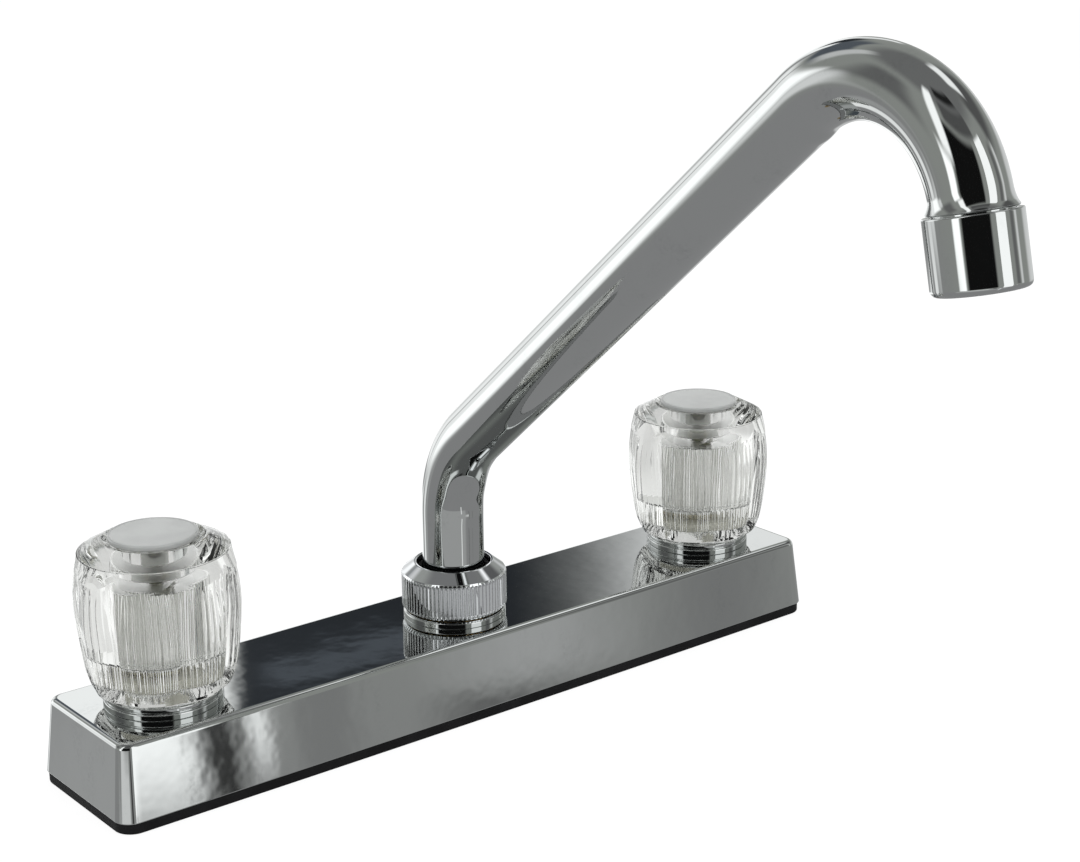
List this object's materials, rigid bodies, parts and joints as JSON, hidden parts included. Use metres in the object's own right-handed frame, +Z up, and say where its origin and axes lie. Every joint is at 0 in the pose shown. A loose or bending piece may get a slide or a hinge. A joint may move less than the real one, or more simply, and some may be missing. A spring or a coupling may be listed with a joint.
{
  "type": "two handle kitchen faucet",
  "caption": "Deck-mount kitchen faucet: drafted chrome deck cover, clear lobed knobs on quarter-turn valves, knurled spout nut and a bent swivel spout with an aerator.",
  "frame": {"origin": "on the sink deck, on the gasket's underside, under the spout's swivel axis and midway between the handles", "axes": "+Z up from the deck along the swivel axis, +X from the hot handle to the cold handle, -Y towards the user and along the spout at rest"},
  "size_m": [0.2582, 0.2364, 0.2601],
  "materials": {
    "chrome": "mirror-bright chrome plate on brass",
    "brass": "machined raw brass, slightly dulled",
    "stainless": "stamped and woven stainless steel",
    "clear_acrylic": "water-clear moulded acrylic, polished",
    "cream_plastic": "moulded cream acetal",
    "black_rubber": "black moulded rubber",
    "grey_plastic": "moulded grey plastic"
  },
  "bodies": {
    "deck_assembly": {"base_gasket": "black_rubber", "deck_cover": "chrome", "hot_valve_body": "brass", "hot_deck_washer": "stainless", "hot_lock_nut": "brass", "hot_seat_spring": "stainless", "hot_valve_seat": "black_rubber", "hot_cartridge_sleeve": "cream_plastic", "hot_retainer_nut": "cream_plastic", "hot_cover_nut": "chrome", "cold_valve_body": "brass", "cold_deck_washer": "stainless", "cold_lock_nut": "brass", "cold_seat_spring": "stainless", "cold_valve_seat": "black_rubber", "cold_cartridge_sleeve": "cream_plastic", "cold_retainer_nut": "cream_plastic", "cold_cover_nut": "chrome", "hot_crossover_tube": "brass", "cold_crossover_tube": "brass", "spout_post": "brass", "spout_base_ring": "chrome", "spout_nut": "chrome", "spout_seal_ring": "black_rubber"},
    "hot_handle": {"hot_stem": "brass", "hot_stem_seal": "black_rubber", "hot_knob_insert": "cream_plastic", "hot_knob": "clear_acrylic", "hot_handle_screw": "brass", "hot_index_cap": "clear_acrylic"},
    "cold_handle": {"cold_stem": "brass", "cold_stem_seal": "black_rubber", "cold_knob_insert": "cream_plastic", "cold_knob": "clear_acrylic", "cold_handle_screw": "brass", "cold_index_cap": "clear_acrylic"},
    "spout": {"spout_sleeve": "brass", "spout_lower_seal": "black_rubber", "spout_upper_seal": "black_rubber", "spout_tube": "chrome", "aerator_shell": "chrome", "aerator_washer": "black_rubber", "aerator_insert": "grey_plastic", "aerator_screen": "stainless"}
  },
  "joints": [
    {"name": "hot_handle_turn", "type": "hinge", "parent": "deck_assembly", "child": "hot_handle", "pos_m": [-0.1016, 0, 0.03], "axis": [0, 0, 1], "range_deg": [0, 90]},
    {"name": "cold_handle_turn", "type": "hinge", "parent": "deck_assembly", "child": "cold_handle", "pos_m": [0.1016, 0, 0.03], "axis": [0, 0, -1], "range_deg": [0, 90]},
    {"name": "spout_swivel", "type": "hinge", "parent": "deck_assembly", "child": "spout", "pos_m": [0, 0, 0.03], "axis": [0, 0, 1], "continuous": true}
  ]
}
